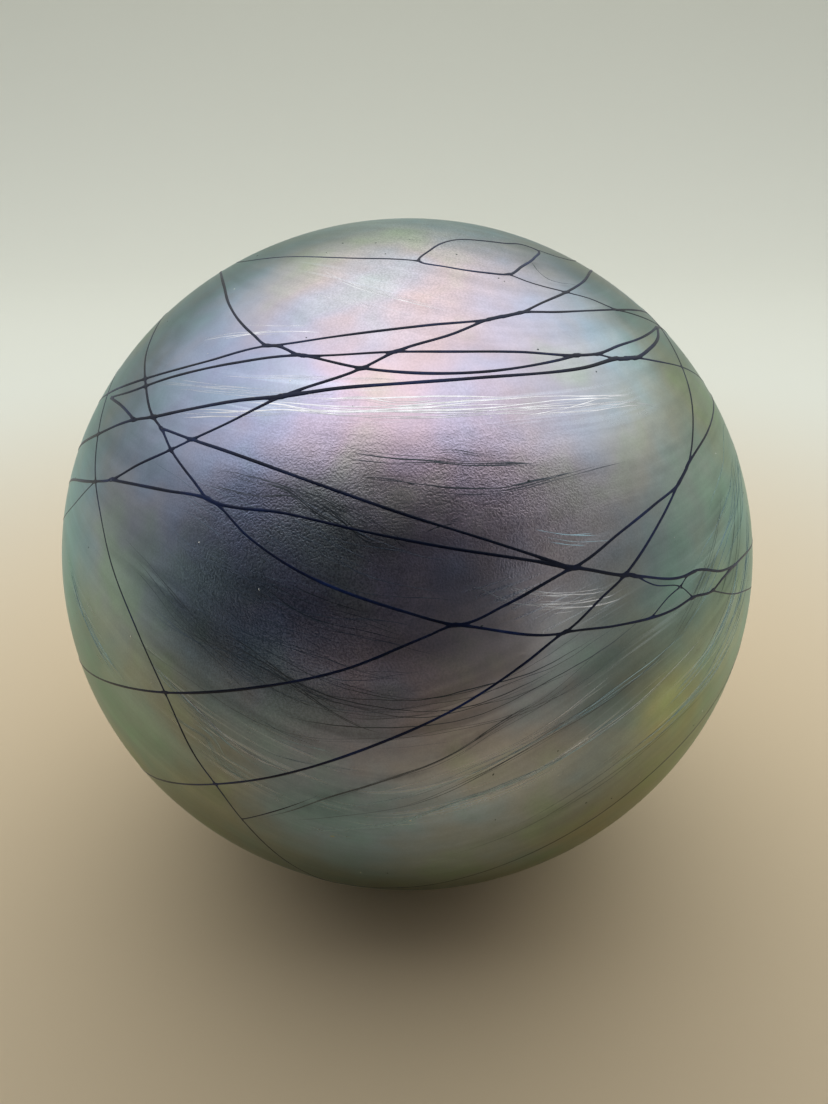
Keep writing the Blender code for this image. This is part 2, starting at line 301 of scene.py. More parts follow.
# Soft fields of colour in the iridised skin: place, reach in degrees, strength and colour. Most are the
# glass's own colour; some are painted: dark reflections in front, a sheen, and the board's reflection low
# down.
SKIN_GROUND = (0.26, 0.32, 0.27)
BLOOMS_AND_PAINTED_LIGHT = (
    ((4, 46), 25, 3.2, (0.64, 0.55, 0.65)),
    ((2, 56), 13, 2.4, (0.74, 0.65, 0.5)),
    ((-8, 64), 13, 2.4, (0.56, 0.42, 0.44)),
    ((-17, 61), 8, 2.2, (0.78, 0.66, 0.56)),
    ((24, 63), 12, 2.2, (0.5, 0.38, 0.47)),
    ((22, 56), 8, 1.8, (0.42, 0.46, 0.58)),
    ((6, 42), 13, 2.5, (0.72, 0.55, 0.76)),
    ((-34, 52), 13, 3.9, (0.2, 0.23, 0.38)),
    ((-14, 45), 6, 3.2, (0.86, 0.7, 0.84)),
    ((-12, 39), 5, 1.2, (0.36, 0.34, 0.42)),
    ((-18, 54), 6, 1.6, (0.4, 0.4, 0.5)),
    ((-30, 41), 12, 2.0, (0.3, 0.3, 0.4)),
    ((-19, 37), 7, 2.8, (0.2, 0.22, 0.3)),
    ((-56, 43), 15, 2.4, (0.45, 0.47, 0.5)),
    ((-46, 28), 15, 2.4, (0.29, 0.34, 0.4)),
    # These two dark blue fields are partly the glass's own dark tone and partly a painted dark reflection of
    # the room in front.
    ((-26, 22), 13, 3.4, (0.06, 0.14, 0.27)),
    ((-11, 26), 10, 3.4, (0.05, 0.16, 0.38)),
    # Painted sheen: this bluish field stands in for the blue sheen that the crinkled glass shows in the dark
    # front zone.
    ((-13, 32), 6, 3.6, (0.36, 0.44, 0.54)),
    ((6, 34), 6, 1.6, (0.36, 0.38, 0.46)),
    ((37, 54), 14, 3.2, (0.25, 0.38, 0.44)),
    ((29, 45), 8, 2.0, (0.3, 0.38, 0.5)),
    ((41, 43), 10, 2.4, (0.28, 0.42, 0.4)),
    ((24, 50), 9, 1.6, (0.44, 0.45, 0.62)),
    ((60, 43), 13, 2.6, (0.56, 0.64, 0.48)),
    ((68, 28), 13, 2.4, (0.33, 0.42, 0.32)),
    ((25, 37), 11, 4.2, (0.17, 0.21, 0.21)),
    ((49, 33), 10, 3.8, (0.62, 0.64, 0.45)),
    ((5, 31), 13, 1.8, (0.26, 0.25, 0.32)),
    ((46, 19), 13, 2.4, (0.13, 0.23, 0.18)),
    ((25, 13), 11, 5.0, (0.08, 0.1, 0.06)),
    ((-3, 17), 13, 4.0, (0.72, 0.58, 0.62)),
    ((12, 17), 8, 3.4, (0.9, 0.85, 0.8)),
    # These two are partly the glass's own dark tone and partly a painted dark reflection of the room in
    # front.
    ((-6, 4), 12, 3.2, (0.17, 0.16, 0.18)),
    ((1, 7), 6, 1.6, (0.08, 0.1, 0.12)),
    ((14, 6), 8, 2.2, (0.32, 0.28, 0.27)),
    ((14, -2), 14, 1.6, (0.15, 0.19, 0.23)),
    # Partly the glass's own dark tone and partly a painted dark reflection of the room in front.
    ((-26, 12), 11, 2.6, (0.07, 0.12, 0.13)),
    ((-28, 1), 11, 2.2, (0.28, 0.32, 0.26)),
    ((-43, -3), 13, 2.8, (0.46, 0.53, 0.4)),
    ((-50, 4), 12, 2.0, (0.2, 0.28, 0.25)),
    ((-76, 8), 14, 2.8, (0.4, 0.6, 0.6)),
    ((78, 8), 14, 2.8, (0.38, 0.58, 0.52)),
    ((56, 3), 7, 1.6, (0.62, 0.74, 0.62)),
    ((-4, -14), 17, 2.8, (0.33, 0.48, 0.62)),
    ((10, -20), 11, 2.6, (0.5, 0.66, 0.72)),
    ((22, -10), 15, 2.4, (0.28, 0.43, 0.52)),
    ((37, 1), 4.5, 3.4, (0.54, 0.54, 0.16)),
    ((43, -4), 4, 1.8, (0.5, 0.48, 0.16)),
    ((45, -4), 11, 2.6, (0.46, 0.52, 0.32)),
    ((8, -4), 11, 3.0, (0.66, 0.76, 0.74)),
    ((16, 4), 7, 2.0, (0.5, 0.54, 0.52)),
    # Painted reflection: these brown fields low down stand in for the warm board's reflection in the glass.
    ((4, -38), 19, 3.8, (0.19, 0.15, 0.03)),
    ((30, -26), 15, 3.8, (0.37, 0.25, 0.03)),
    ((-26, -24), 12, 2.4, (0.3, 0.26, 0.15)),
    ((-45, -24), 10, 2.0, (0.26, 0.2, 0.12)),
    ((10, 84), 12, 2.8, (0.52, 0.66, 0.7)),
    ((-34, 70), 10, 2.6, (0.26, 0.31, 0.27)),
    ((2, 75), 9, 2.8, (0.3, 0.33, 0.29)),
    ((-42, 60), 10, 3.0, (0.3, 0.35, 0.34)),
    ((120, 40), 30, 1.5, (0.5, 0.4, 0.56)),
    ((-120, 30), 30, 1.5, (0.28, 0.38, 0.52)),
    ((180, 0), 34, 1.5, (0.4, 0.34, 0.42)),
    ((110, -10), 26, 1.2, (0.26, 0.38, 0.28)),
    ((-110, -14), 26, 1.2, (0.3, 0.34, 0.2)),
)

# Where the skin is most granular: place, reach in degrees and strength. Most of these places lie in the dark
# front zone, where the grain's lighter specks are painted glints of the crinkled glass as well as its
# texture.
GRAIN_AND_GLINT_PLACES = (
    ((12, 33), 14, 0.8), ((-12, 34), 14, 0.75), ((22, 28), 10, 0.7), ((-14, 22), 16, 1.5),
    ((-6, 68), 17, 0.6), ((20, 78), 16, 0.8))
GRAIN_ELSEWHERE = 0.16

# On the front the streaks hang in a trough. Over the crown they turn about a pole inside the mouth.
TROUGH_AT = 0.07  # radians to the left of the front
TROUGH_SLOPE = 0.42
TROUGH_ROUNDING = 60  # in square degrees
TROUGH_TOP = (4, 41)  # latitudes over which the trough levels out
SHOULDER = (46, 62)  # latitudes over which the streaks begin to slant
SHOULDER_SLANT = 25
CROWN = (52, 76)  # latitudes over which the crown's pole takes over
CROWN_LEAN = 25
CROWN_POLE = np.array((0.0, math.sin(math.radians(CROWN_LEAN)), math.cos(math.radians(CROWN_LEAN))))
FLOW_WANDER = 0.9
FLOW_RATE = 2.2  # how fast the streaks' noise changes along the flow

# Drawn-out strands: tone, number of strands, spread in degrees, strength, and the route they follow.
WISPS = (
    ("pale", 13, 1.0, 2.0, (
        (-38, 41), (-29, 43), (-21, 44), (-15, 44), (0, 44.3), (12, 44.3), (27, 43.7), (45, 41.7))),
    ("pale", 6, 0.7, 0.8, ((-52, 42.7), (-37.5, 44.6), (-26, 45.5), (-17, 45.8), (-8.6, 45.8))),
    ("pale", 6, 0.8, 0.8, ((-45, 40), (-37, 41.3), (-30, 42.2), (-23.5, 43), (-17.4, 43.7))),
    ("pale", 4, 0.5, 0.8, ((-18, 44.6), (-7, 45.9), (-1, 45.2), (7.5, 45.5), (16, 45.7))),
    ("pale", 3, 0.8, 0.5, ((-37, 46.3), (-25, 47.3), (-13.5, 47.8), (2, 47.2))),
    ("pale", 6, 1.6, 0.5, ((18, 42.5), (30, 42.6), (42, 41.5), (52, 39))),
    ("pale", 5, 1.2, 0.5, ((-50, 50), (-42, 52.5), (-30, 54.5), (-18, 55.5))),
    ("pale", 3, 0.5, 0.7, ((-44, 69), (-26, 66.4), (-10, 63.4), (6, 60.3), (14, 58.5))),
    ("pale", 2, 0.5, 0.5, ((-30, 62), (-14, 60.5), (0, 58))),
    ("aqua", 6, 1.0, 0.9, ((-37, 11), (-34, 7.7), (-30, 5), (-27, 3), (-23, 0.3), (-19, -2), (-12, -3.4))),
    ("aqua", 7, 1.3, 0.8, ((-34, 3.5), (-31, 1.5), (-26, -0.4), (-25, -2.8), (-21, -5), (-14, -7))),
    ("aqua", 5, 2.2, 0.5, ((-24, 5), (-18, 2.5), (-10, 1), (-4, -0.5))),
    ("aqua", 7, 0.9, 0.9, (
        (-16, -14), (-10, -12.6), (-1, -10), (5.6, -6.4), (11.4, -4.2), (19, -1.3), (25, 1.3), (35, 4.8))),
    ("aqua", 5, 1.0, 0.8, ((26, -5), (36, -3), (43, -0.5), (49.5, 1.5), (54, 4.4), (59, 7.5))),
    ("aqua", 4, 1.0, 0.7, ((-16, -8.5), (-6, -6), (6, -1.5), (18, 3.6), (30, 8.4), (42, 12))),
    ("aqua", 5, 1.0, 0.7, ((36, 1), (46, 5), (54, 10), (60, 16))),
    ("pale", 4, 0.35, 0.9, (
        (-36.5, 9.5), (-34.4, 8), (-31.3, 6.3), (-28, 4.4), (-24.7, 2), (-21.2, -0.2), (-18, -1.5),
        (-14, -2.4), (-9.5, -3))),
    ("pale", 3, 0.25, 0.8, (
        (-6, -9), (0.6, -7.5), (6, -6.2), (11.7, -4.8), (17.4, -2.3), (23.2, 0.5), (29.6, 2.9), (37, 6),
        (47, 9.6))),
    ("pale", 3, 0.3, 0.7, (
        (-5, -5), (0.6, -2.9), (7.4, -0.2), (14, 2.4), (19.4, 5), (24, 7.6), (29, 10.1), (33.7, 12.5),
        (38, 14.5), (42, 16))),
    ("pale", 6, 0.9, 0.9, ((7, 25), (10, 23.8), (14, 22), (18.5, 21), (24, 20.2), (29, 20))),
    ("pale", 5, 0.8, 0.9, ((12, 20.6), (15, 20), (20, 19.4), (25.6, 19), (30, 19.2))),
    ("aqua", 4, 1.0, 0.35, ((16, 29), (22, 27.5), (30, 26.5))),
    ("aqua", 8, 2.8, 0.25, ((84, 30), (79, 27.5), (71, 27), (63, 24.4), (50, 19.8), (42, 16.3), (35, 12.4))),
    ("aqua", 6, 2.2, 0.4, ((74, 20), (66, 15), (60, 9.5), (52, 4), (44, 0))),
    ("aqua", 5, 2.0, 0.5, ((-62, 14), (-56, 10), (-50, 7), (-44, 4), (-38, 2))),
    ("dusk", 13, 3.2, 0.3, ((-38, 27), (-26, 24), (-16, 21.5), (-8, 19.5), (2, 19))),
    ("dusk", 13, 3.2, 0.3, ((-38, 20), (-28, 16.5), (-16, 14), (-8, 12.5), (4, 12.5))),
    ("dusk", 8, 2.4, 0.3, ((-26, 32), (-14, 29), (-4, 26), (8, 24))),
    ("dusk", 8, 2.4, 0.3, ((-44, 34), (-34, 32), (-24, 29), (-12, 25))),
    ("dark", 6, 1.6, 1.0, ((-46, 22), (-38, 20.5), (-28, 16), (-22, 13), (-16, 9))),
    ("dark", 5, 0.7, 1.9, (
        (-14, 41.5), (-9, 39.3), (-4, 38.7), (4, 38.4), (9, 37.8), (16, 37.3), (23, 36.2))),
    ("dark", 3, 0.6, 1.0, ((2, 39.2), (7, 39.6), (12, 38.8), (18, 38.4))),
    ("dark", 4, 0.5, 1.6, (
        (-8, 35.7), (-1, 35.6), (5.6, 34.8), (13.4, 34.2), (23, 34.9), (30, 35.1), (38, 35))),
    ("dark", 2, 0.3, 0.8, ((4.7, 30.7), (6.7, 31.1), (8.5, 31))),
    ("dark", 6, 1.3, 1.7, (
        (-30, 34.4), (-22.5, 34.2), (-13.5, 33.1), (-8.7, 31.2), (-5, 28.9), (1.6, 27.4))),
    ("dark", 4, 0.9, 1.7, ((-16.6, 35.7), (-10.3, 33.2), (-4.6, 31.2), (3.2, 26.6))),
    ("dark", 5, 1.2, 0.8, ((-27, 26), (-20, 23.5), (-12, 20.5), (-4, 19), (6, 16))),
    ("dark", 8, 1.9, 1.0, (
        (-40, 17), (-30, 15.8), (-22, 13.9), (-15, 11.3), (-9, 9.5), (-0.6, 8.6), (9, 9.5), (21, 12.9),
        (32, 17.9))),
    ("dark", 5, 1.4, 0.9, (
        (-44, 12), (-34, 10.5), (-25, 8.5), (-16, 5.5), (-6, 5), (6, 6.5), (18, 9.5), (30, 14), (42, 20))),
    ("dark", 4, 0.8, 0.5, ((-11, -6), (-3, -2), (4, 1), (12, 6), (18, 9), (23.5, 12.3))),
    ("dark", 4, 0.9, 0.6, ((-20, -13), (-8, -9), (3, -4.6), (14, 1), (24, 5.5), (34, 9.5), (46, 15))),
    ("dark", 4, 1.0, 0.8, ((30, 7), (38, 11.5), (46, 17), (54, 24), (62, 31))),
    ("dark", 3, 0.25, 2.2, (
        (-32, 34.7), (-23, 34.6), (-16.7, 34), (-12.5, 31.9), (-10, 30.8), (-6.4, 29.5), (-2.8, 28.1),
        (1.6, 27))),
    ("dark", 2, 0.2, 2.0, ((-31, 32.9), (-21, 32.8), (-14.6, 33.2), (-12, 31.6), (-9, 30))),
    ("dark", 2, 0.2, 1.6, ((-7.5, 36.1), (-2, 36), (3, 35))),
    ("dark", 2, 0.2, 2.0, ((1, 29.6), (5, 30.8), (8, 31.1))),
    ("dark", 2, 0.25, 1.4, ((10, 33.3), (15, 34.4), (23, 34.9), (30, 35))),
    ("dark", 4, 0.5, 2.0, (
        (-27, 16), (-21, 15), (-16, 12.6), (-11.6, 9.8), (-7.4, 7.3), (-3.7, 5.8), (2, 5))),
    ("dark", 3, 1.2, 0.4, ((-4, -22), (10, -17), (24, -10), (38, -4), (50, 0))),
    ("dark", 4, 1.4, 0.7, ((70, 30), (62, 22), (52, 13), (42, 7))),
    ("dark", 2, 0.1, 1.4, (
        (54, 68.5), (51.7, 67.1), (48.6, 65), (48.5, 63), (51, 62), (54.6, 61.3), (60, 60))),
    ("dark", 5, 0.12, 0.9, (
        (-23, -15), (-19.5, -12.6), (-15, -9.5), (-11, -6.6), (-3, -2.4), (4, 1), (12, 6), (18, 9),
        (23.5, 12.3), (30, 16))),
)
WISP_STEP = 0.0006
MASK_STEP = 0.002
MASK_ENDS = 0.12  # radians of a half wave, by which the smears don't quite fade out at the ends
MASK_MARGIN = 1.1  # degrees that the smears in the skin reach past a bundle's spread

LIP_EDGE = (30.0, 34.5)  # degrees from the blowing axis over which the lip's tone fades
GROUND_EDGE = (0.0001, 0.0003)  # heights over which the ground foot gives way to the skin


def blown_colour_and_painted_light(directions):
    """The skin's broad colour at each direction, painted reflections and sheen included: the blooms, mixed
    by their nearness.
    """
    total = np.full((len(directions), 3), SKIN_GROUND)
    weight = np.ones(len(directions))
    for place, reach, strength, colour in BLOOMS_AND_PAINTED_LIGHT:
        near = strength * nearness(directions, place, reach)
        total += near[:, None] * np.array(colour)
        weight += near
    return total / weight[:, None]


def flow_level(directions):
    """The height, in degrees, of the drawn-out streak that passes through each direction."""
    latitude = np.degrees(np.arcsin(directions[:, 2]))
    azimuth = np.arctan2(directions[:, 0], -directions[:, 1])
    from_trough = np.degrees(2 * np.sin((azimuth + TROUGH_AT) / 2))
    trough = np.sqrt(from_trough**2 + TROUGH_ROUNDING) - math.sqrt(TROUGH_ROUNDING)
    level = latitude - TROUGH_SLOPE * (1 - smooth_step(latitude, *TROUGH_TOP)) * trough
    level += SHOULDER_SLANT * smooth_step(latitude, *SHOULDER) * directions[:, 0]
    from_pole = np.degrees(np.arcsin(np.clip(directions @ CROWN_POLE, -1, 1))) + CROWN_LEAN
    level += smooth_step(latitude, *CROWN) * (from_pole - latitude)
    return level + FLOW_WANDER * flow_warp(directions)


def near_wisps(directions, tone):
    """How near each direction is to the wisps of a tone, from 0 to 1."""
    mask = np.zeros(len(directions))
    for wisp_tone, _, spread, strength, places in WISPS:
        if wisp_tone != tone:
            continue
        route = smooth_route(places, MASK_STEP)
        ends = np.sin(np.linspace(MASK_ENDS, math.pi - MASK_ENDS, len(route)))
        reach = math.radians(spread + MASK_MARGIN)
        gaps = 2 - 2 * directions @ route.T
        mask = np.maximum(mask, min(strength, 1.0) * (ends * np.exp(-gaps / reach**2)).max(axis=1))
    return mask


def grain_and_glint_mask(directions):
    mask = np.full(len(directions), GRAIN_ELSEWHERE)
    for place, reach, strength in GRAIN_AND_GLINT_PLACES:
        mask = np.maximum(mask, strength * nearness(directions, place, reach))
    return mask


def store(mesh, name, kind, key, values):
    mesh.attributes.new(name, kind, "POINT").data.foreach_set(key, values.astype(np.float32).ravel())


def store_skin_fields(mesh, directions):
    """Colour, flow and streak fields for the skin's material, one value to a vertex."""
    colour = np.column_stack((blown_colour_and_painted_light(directions), np.ones(len(directions))))
    flow = np.column_stack((directions[:, :2] * FLOW_RATE, flow_level(directions)))
    from_axis = np.degrees(np.arccos(np.clip(directions @ BLOWING_AXIS, -1, 1)))
    heights = np.array([vertex.co.z for vertex in mesh.vertices])
    store(mesh, "bloom_and_painted_light", "FLOAT_COLOR", "color", colour)
    store(mesh, "flow", "FLOAT_VECTOR", "vector", flow)
    for name, values in (
        ("pale_wisps", np.maximum(near_wisps(directions, "pale"), near_wisps(directions, "aqua"))),
        ("dark_wisps", near_wisps(directions, "dark")),
        ("grain_and_glint_mask", grain_and_glint_mask(directions)),
        ("lip", 1 - smooth_step(from_axis, *LIP_EDGE)),
        ("ground", 1 - smooth_step(heights, *GROUND_EDGE)),
    ):
        store(mesh, name, "FLOAT", "value", values)


# ---------------- materials

# Noise scales: about how many features there are to a metre.
CLOUD_SCALE = 48.0
MOTTLE_SCALE = 330.0
GRAIN_SCALE = 4000.0
SWIRL_SCALE = 34.0
SEED_SCALE = 210.0
DRIFT_SCALE = 90.0
FUSED_SCALE = 2600.0
WISP_SCALE = 420.0


def skin_glass():
    """Iridised skin: fields of colour with painted reflections and a painted sheen among them, streaks drawn
    along the flow, fine mottling and a granular satin whose lighter specks are partly painted glints.
    """
    material, tree, shader = new_material("iridised_skin")
    shader["Metallic"].default_value = 1.0
    shader["Specular Tint"].default_value = (0.62, 0.74, 0.68, 1.0)
    place = tree.object_place()
    flow = tree.attribute("flow", "Vector")
    lip = tree.attribute("lip")
    ground = tree.attribute("ground")
    clouds = tree.noise(place, CLOUD_SCALE, 3.0, 0.6)
    mottle = tree.noise(place, MOTTLE_SCALE, 4.0, 0.6)
    grain = tree.noise(place, GRAIN_SCALE, 2.0, 0.6)
    combed = tree.streaks(flow, 0.55, 4.0, 7.7)
    grain_and_glints = tree.math("SUBTRACT", tree.ease(grain, *NOISE_SPAN), 0.5)
    grain_and_glints = tree.times(grain_and_glints, tree.attribute("grain_and_glint_mask"))
    hair_lines = tree.ease(tree.streaks(flow, 1.7, 3.0, 12.3), 0.54, 0.66)
    pale_lines = tree.times(hair_lines, tree.attribute("pale_wisps"))
    smears = tree.ease(tree.streaks(flow, 0.3, 3.0, 21.9), 0.6, 0.42)
    dark_lines = tree.times(smears, tree.attribute("dark_wisps"))

    hues = tree.ramp(clouds, [
        (0.32, (0.82, 1.06, 1.14)), (0.43, (0.94, 0.98, 1.2)), (0.5, (1.06, 0.95, 1.08)),
        (0.57, (1.16, 0.96, 0.98)), (0.68, (1.1, 1.06, 0.78))])
    # The blooms bring the glass's own colour, and in places painted reflections and a painted sheen.
    colour = tree.mix("MULTIPLY", 0.65, tree.attribute("bloom_and_painted_light", "Color"), hues)
    # The grain lightens and darkens the skin's tone at random; in the dark front zone its lighter specks are
    # painted glints.
    tone = tree.times_plus(grain_and_glints, 0.5, 1.0)
    for noise, swing in ((tree.streaks(flow, 0.12, 3.0, 3.1), 0.08), (combed, 0.05), (mottle, 0.05)):
        tone = tree.times(tone, tree.ease(noise, *NOISE_SPAN, 1 - swing, 1 + swing))
    colour = tree.shade(colour, tone)
    for blend, mask, share, tint in (
        ("MIX", pale_lines, 0.4, (0.66, 0.74, 0.86)),
        ("MULTIPLY", dark_lines, 0.62, (0.38, 0.38, 0.38)),
        ("MULTIPLY", lip, 0.6, (0.62, 0.85, 0.84)),
        ("MIX", ground, 1.0, (0.34, 0.4, 0.36)),
    ):
        colour = tree.mix(blend, tree.times(mask, share), colour, tint)
    tree.plug(colour, shader["Base Color"])

    rough = tree.ease(mottle, *NOISE_SPAN, 0.28, 0.31)
    for mask, change in ((pale_lines, -0.08), (lip, -0.14), (ground, 0.35)):
        rough = tree.times_plus(mask, change, rough)
    tree.plug(rough, shader["Roughness"])
    height = tree.times(combed, 0.8)
    height = tree.times_plus(grain_and_glints, 0.9, height)
    height = tree.times_plus(pale_lines, 0.12, height)
    tree.plug(tree.bump(height, 0.25, 0.0001), shader["Normal"])
    return material


def lining_glass():
    """Sea-green glass with swirled tone, fine seeds and a wet gloss."""
    material, tree, shader = new_material("lining_glass")
    place = tree.object_place()
    swirl = tree.noise(place, SWIRL_SCALE, 4.0, 0.55, 1.4)
    tone = tree.ramp(swirl, [
        (0.32, (0.13, 0.27, 0.23)), (0.48, (0.21, 0.38, 0.32)),
        (0.58, (0.3, 0.46, 0.38)), (0.7, (0.42, 0.52, 0.38))])
    seeds = tree.add("ShaderNodeTexVoronoi", "Distance", (("Vector", place), ("Scale", SEED_SCALE)))
    bubbles = tree.ease(seeds, 0.16, 0.06)
    tree.plug(tree.mix("MIX", tree.times(bubbles, 0.5), tone, (0.6, 0.72, 0.66)), shader["Base Color"])
    shader["Roughness"].default_value = 0.13
    shader["Coat Weight"].default_value = 0.4
    shader["Coat Roughness"].default_value = 0.05
    tree.plug(tree.bump(tree.times_plus(bubbles, 0.3, swirl), 0.3, 0.0003), shader["Normal"])
    return material


def thread_glass():
    """Cobalt glass, nearly black, that thins to blue in places, with a soft fused surface."""
    material, tree, shader = new_material("thread_glass")
    place = tree.object_place()
    drift = tree.noise(place, DRIFT_SCALE, 3.0, 0.55)
    fine = tree.noise(place, FUSED_SCALE, 2.0)
    tone = tree.ramp(drift, [
        (0.36, (0.002, 0.004, 0.016)), (0.52, (0.004, 0.008, 0.034)), (0.66, (0.007, 0.018, 0.08))])
    tree.plug(tree.shade(tone, tree.ease(fine, *NOISE_SPAN, 0.8, 1.2)), shader["Base Color"])
    tree.plug(tree.ease(fine, *NOISE_SPAN, 0.32, 0.4), shader["Roughness"])
    shader["Specular IOR Level"].default_value = 0.2
    tree.plug(tree.bump(fine, 0.15, 0.00005), shader["Normal"])
    return material


def wisp_glass(name, colour, roughness):
    """Lustred glass of one colour, darker in places."""
    material, tree, shader = new_material(name)
    shader["Metallic"].default_value = 1.0
    shader["Roughness"].default_value = roughness
    shader["Specular Tint"].default_value = (0.68, 0.8, 0.7, 1.0)
    low = tuple(0.75 * part for part in colour)
    tone = tree.ramp(tree.noise(tree.object_place(), WISP_SCALE), [(0.35, low), (0.65, colour)])
    tree.plug(tone, shader["Base Color"])
    return material


# ---------------- the glass walls

COLUMNS = 432
OUTSIDE_ROWS = 190
LIP_ROWS = 12
INSIDE_ROWS = 25
LINING_ROWS = 60
LAST_RING = math.pi - math.radians(0.6)  # from the blowing axis to the last ring round the closed end
LINING_SET_BACK = math.radians(0.8)  # from the casing's lip to the lining's
LINING_GAP = 0.0001
FOOT_EASE = 0.00012


def turn_directions(angles):
    """Unit directions at each angle from the blowing axis, all the way round: rows x columns."""
    spins = np.arange(COLUMNS) * 2 * math.pi / COLUMNS
    around = np.outer(np.cos(spins), SIDE_AXIS) + np.outer(np.sin(spins), THIRD_AXIS)
    return np.concatenate([math.sin(angle) * around + math.cos(angle) * BLOWING_AXIS for angle in angles])


def inset_points(directions, inset):
    """Points of an inner surface, inset from the true globe."""
    along = directions @ BLOWING_AXIS
    across_radius = GLOBE_RADIUS - inset
    along_radius = GLOBE_RADIUS * FLATTENING - inset
    squash = (across_radius / along_radius) ** 2 - 1
    radius = across_radius / np.sqrt(1 + squash * along**2)
    return directions * radius[:, None] + CENTRE


def wall_shell(outer, inner):
    """One casing: up the outside to the lip, over the lip, and down the inside to the closed end."""
    outer = outer.reshape(-1, COLUMNS, 3)
    inner = inner.reshape(-1, COLUMNS, 3)
    middle = (outer[-1] + inner[0]) / 2
    outward = outer[-1] - middle
    to_mouth = np.cross(unit(np.cross(outward, BLOWING_AXIS)), outward)
    to_mouth *= np.sign((to_mouth * (CENTRE + BLOWING_AXIS * GLOBE_RADIUS - middle)).sum(axis=1))[:, None]
    turns = [math.pi * step / LIP_ROWS for step in range(1, LIP_ROWS)]
    lip = [middle + math.cos(turn) * outward + math.sin(turn) * to_mouth for turn in turns]
    rows = np.concatenate((outer, np.array(lip), inner))
    poles = [rows[0].mean(axis=0), rows[-1].mean(axis=0)]
    pole = len(rows) * COLUMNS
    last = pole - COLUMNS
    faces = ring_faces(len(rows), COLUMNS, False)
    for j in range(COLUMNS):
        k = (j + 1) % COLUMNS
        faces += [(pole, k, j), (pole + 1, last + j, last + k)]
    return np.concatenate((rows.reshape(-1, 3), poles)), faces


def grind(points):
    """Flatten the foot: glass below z = 0 is ground away, with a slightly eased edge."""
    points[:, 2] = FOOT_EASE * np.logaddexp(0.0, points[:, 2] / FOOT_EASE)
    return points


def casing_piece(name, points, faces, material):
    piece = mesh_piece(name, points, faces, material)
    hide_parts("outer_casing")
    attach(piece, "root")
    return piece


def make_outer_glass(material):
    outer, _ = skin_points(turn_directions(np.linspace(LAST_RING, MOUTH_ANGLE, OUTSIDE_ROWS)))
    inner = inset_points(turn_directions(np.linspace(MOUTH_ANGLE, LAST_RING, INSIDE_ROWS)), CASING_WALL)
    points, faces = wall_shell(outer, inner)
    directions = unit(points - CENTRE)
    piece = casing_piece("outer_glass", grind(points), faces, material)
    store_skin_fields(piece.data, directions)


def make_lining(material):
    angles = np.linspace(LAST_RING, MOUTH_ANGLE + LINING_SET_BACK, LINING_ROWS)
    outer = inset_points(turn_directions(angles), CASING_WALL + LINING_GAP)
    inner = inset_points(turn_directions(angles[::-1]), CASING_WALL + LINING_WALL)
    points, faces = wall_shell(outer, inner)
    piece = mesh_piece("lining", points, faces, material)
    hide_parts("inner_casing")
    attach(piece, "root")


# ---------------- wisps and marks in the skin

STRAND_SINK = 0.00003  # how far a strand's edges are sunk in the skin
STRAND_EDGE = 0.00001  # half the width of a strand's drawn-out ends
STRAND_START = 0.42  # a strand starts before this share of its route and ends after the rest
STRAND_FADE = (-0.02, 0.12)  # shares of the route over which it widens, from its start
STRAND_SWAYS = ((0.04, 0.5), (0.015, 0.12), (0.005, 0.02))  # wavelength, and share of the drift


def strand_mesh(route, half_width, height, seed, drift):
    """A hairline of glass, flat on the skin, that wanders beside its route and tapers at both ends."""
    rng = np.random.default_rng(seed)
    count = len(route)
    along = np.linspace(0, 1, count)
    first, last = rng.uniform(0, 1, 2) * STRAND_START + (0.0, 1 - STRAND_START)
    before, after = STRAND_FADE
    inside = smooth_step(along, first + before, first + after)
    inside *= 1 - smooth_step(along, last - after, last - before)
    kept = (along > first) & (along < last)
    sway = np.full(count, drift * rng.normal())
    run = np.arange(count) * WISP_STEP
    for length, share in STRAND_SWAYS:
        length *= rng.uniform(0.7, 1.3)
        sway += drift * share * np.sin(2 * math.pi * run / length + rng.uniform(0, 2 * math.pi))
    path = unit((route + across_route(route, route) * sway[:, None])[kept])
    inside = inside[kept]
    centres, normals = skin_points(path)
    pulse = 1 + 0.35 * np.sin(2 * math.pi * rng.uniform(2, 5) * along[kept] + rng.uniform(0, 6))
    side = across_route(centres, normals) * (half_width * inside * pulse + STRAND_EDGE)[:, None]
    sunk = centres - normals * STRAND_SINK
    crest = centres + normals * height * inside[:, None]
    points = np.stack((sunk - side, crest, sunk + side), axis=1)
    corners = [3 * i + j for i in range(len(path) - 1) for j in range(2)]
    return points.reshape(-1, 3), [(here, here + 1, here + 4, here + 3) for here in corners]


def wisp_strands(tone, half_widths, height):
    """Each strand of the wisps of a tone. Its seed comes from its row's place in WISPS."""
    thin, wide = half_widths
    for bundle, (wisp_tone, strands, spread, strength, places) in enumerate(WISPS):
        if wisp_tone != tone:
            continue
        route = smooth_route(places, WISP_STEP)
        for seed in range(1000 * bundle, 1000 * bundle + strands):
            share = np.random.default_rng(seed + 7).uniform()
            half_width = (thin + (wide - thin) * share**2) * (0.5 + 0.5 * strength)
            yield strand_mesh(route, half_width, height, seed, math.radians(spread) * 0.6)


def make_wisps(tone, material, half_widths, height):
    casing_piece(tone + "_wisps", *join(wisp_strands(tone, half_widths, height)), material)


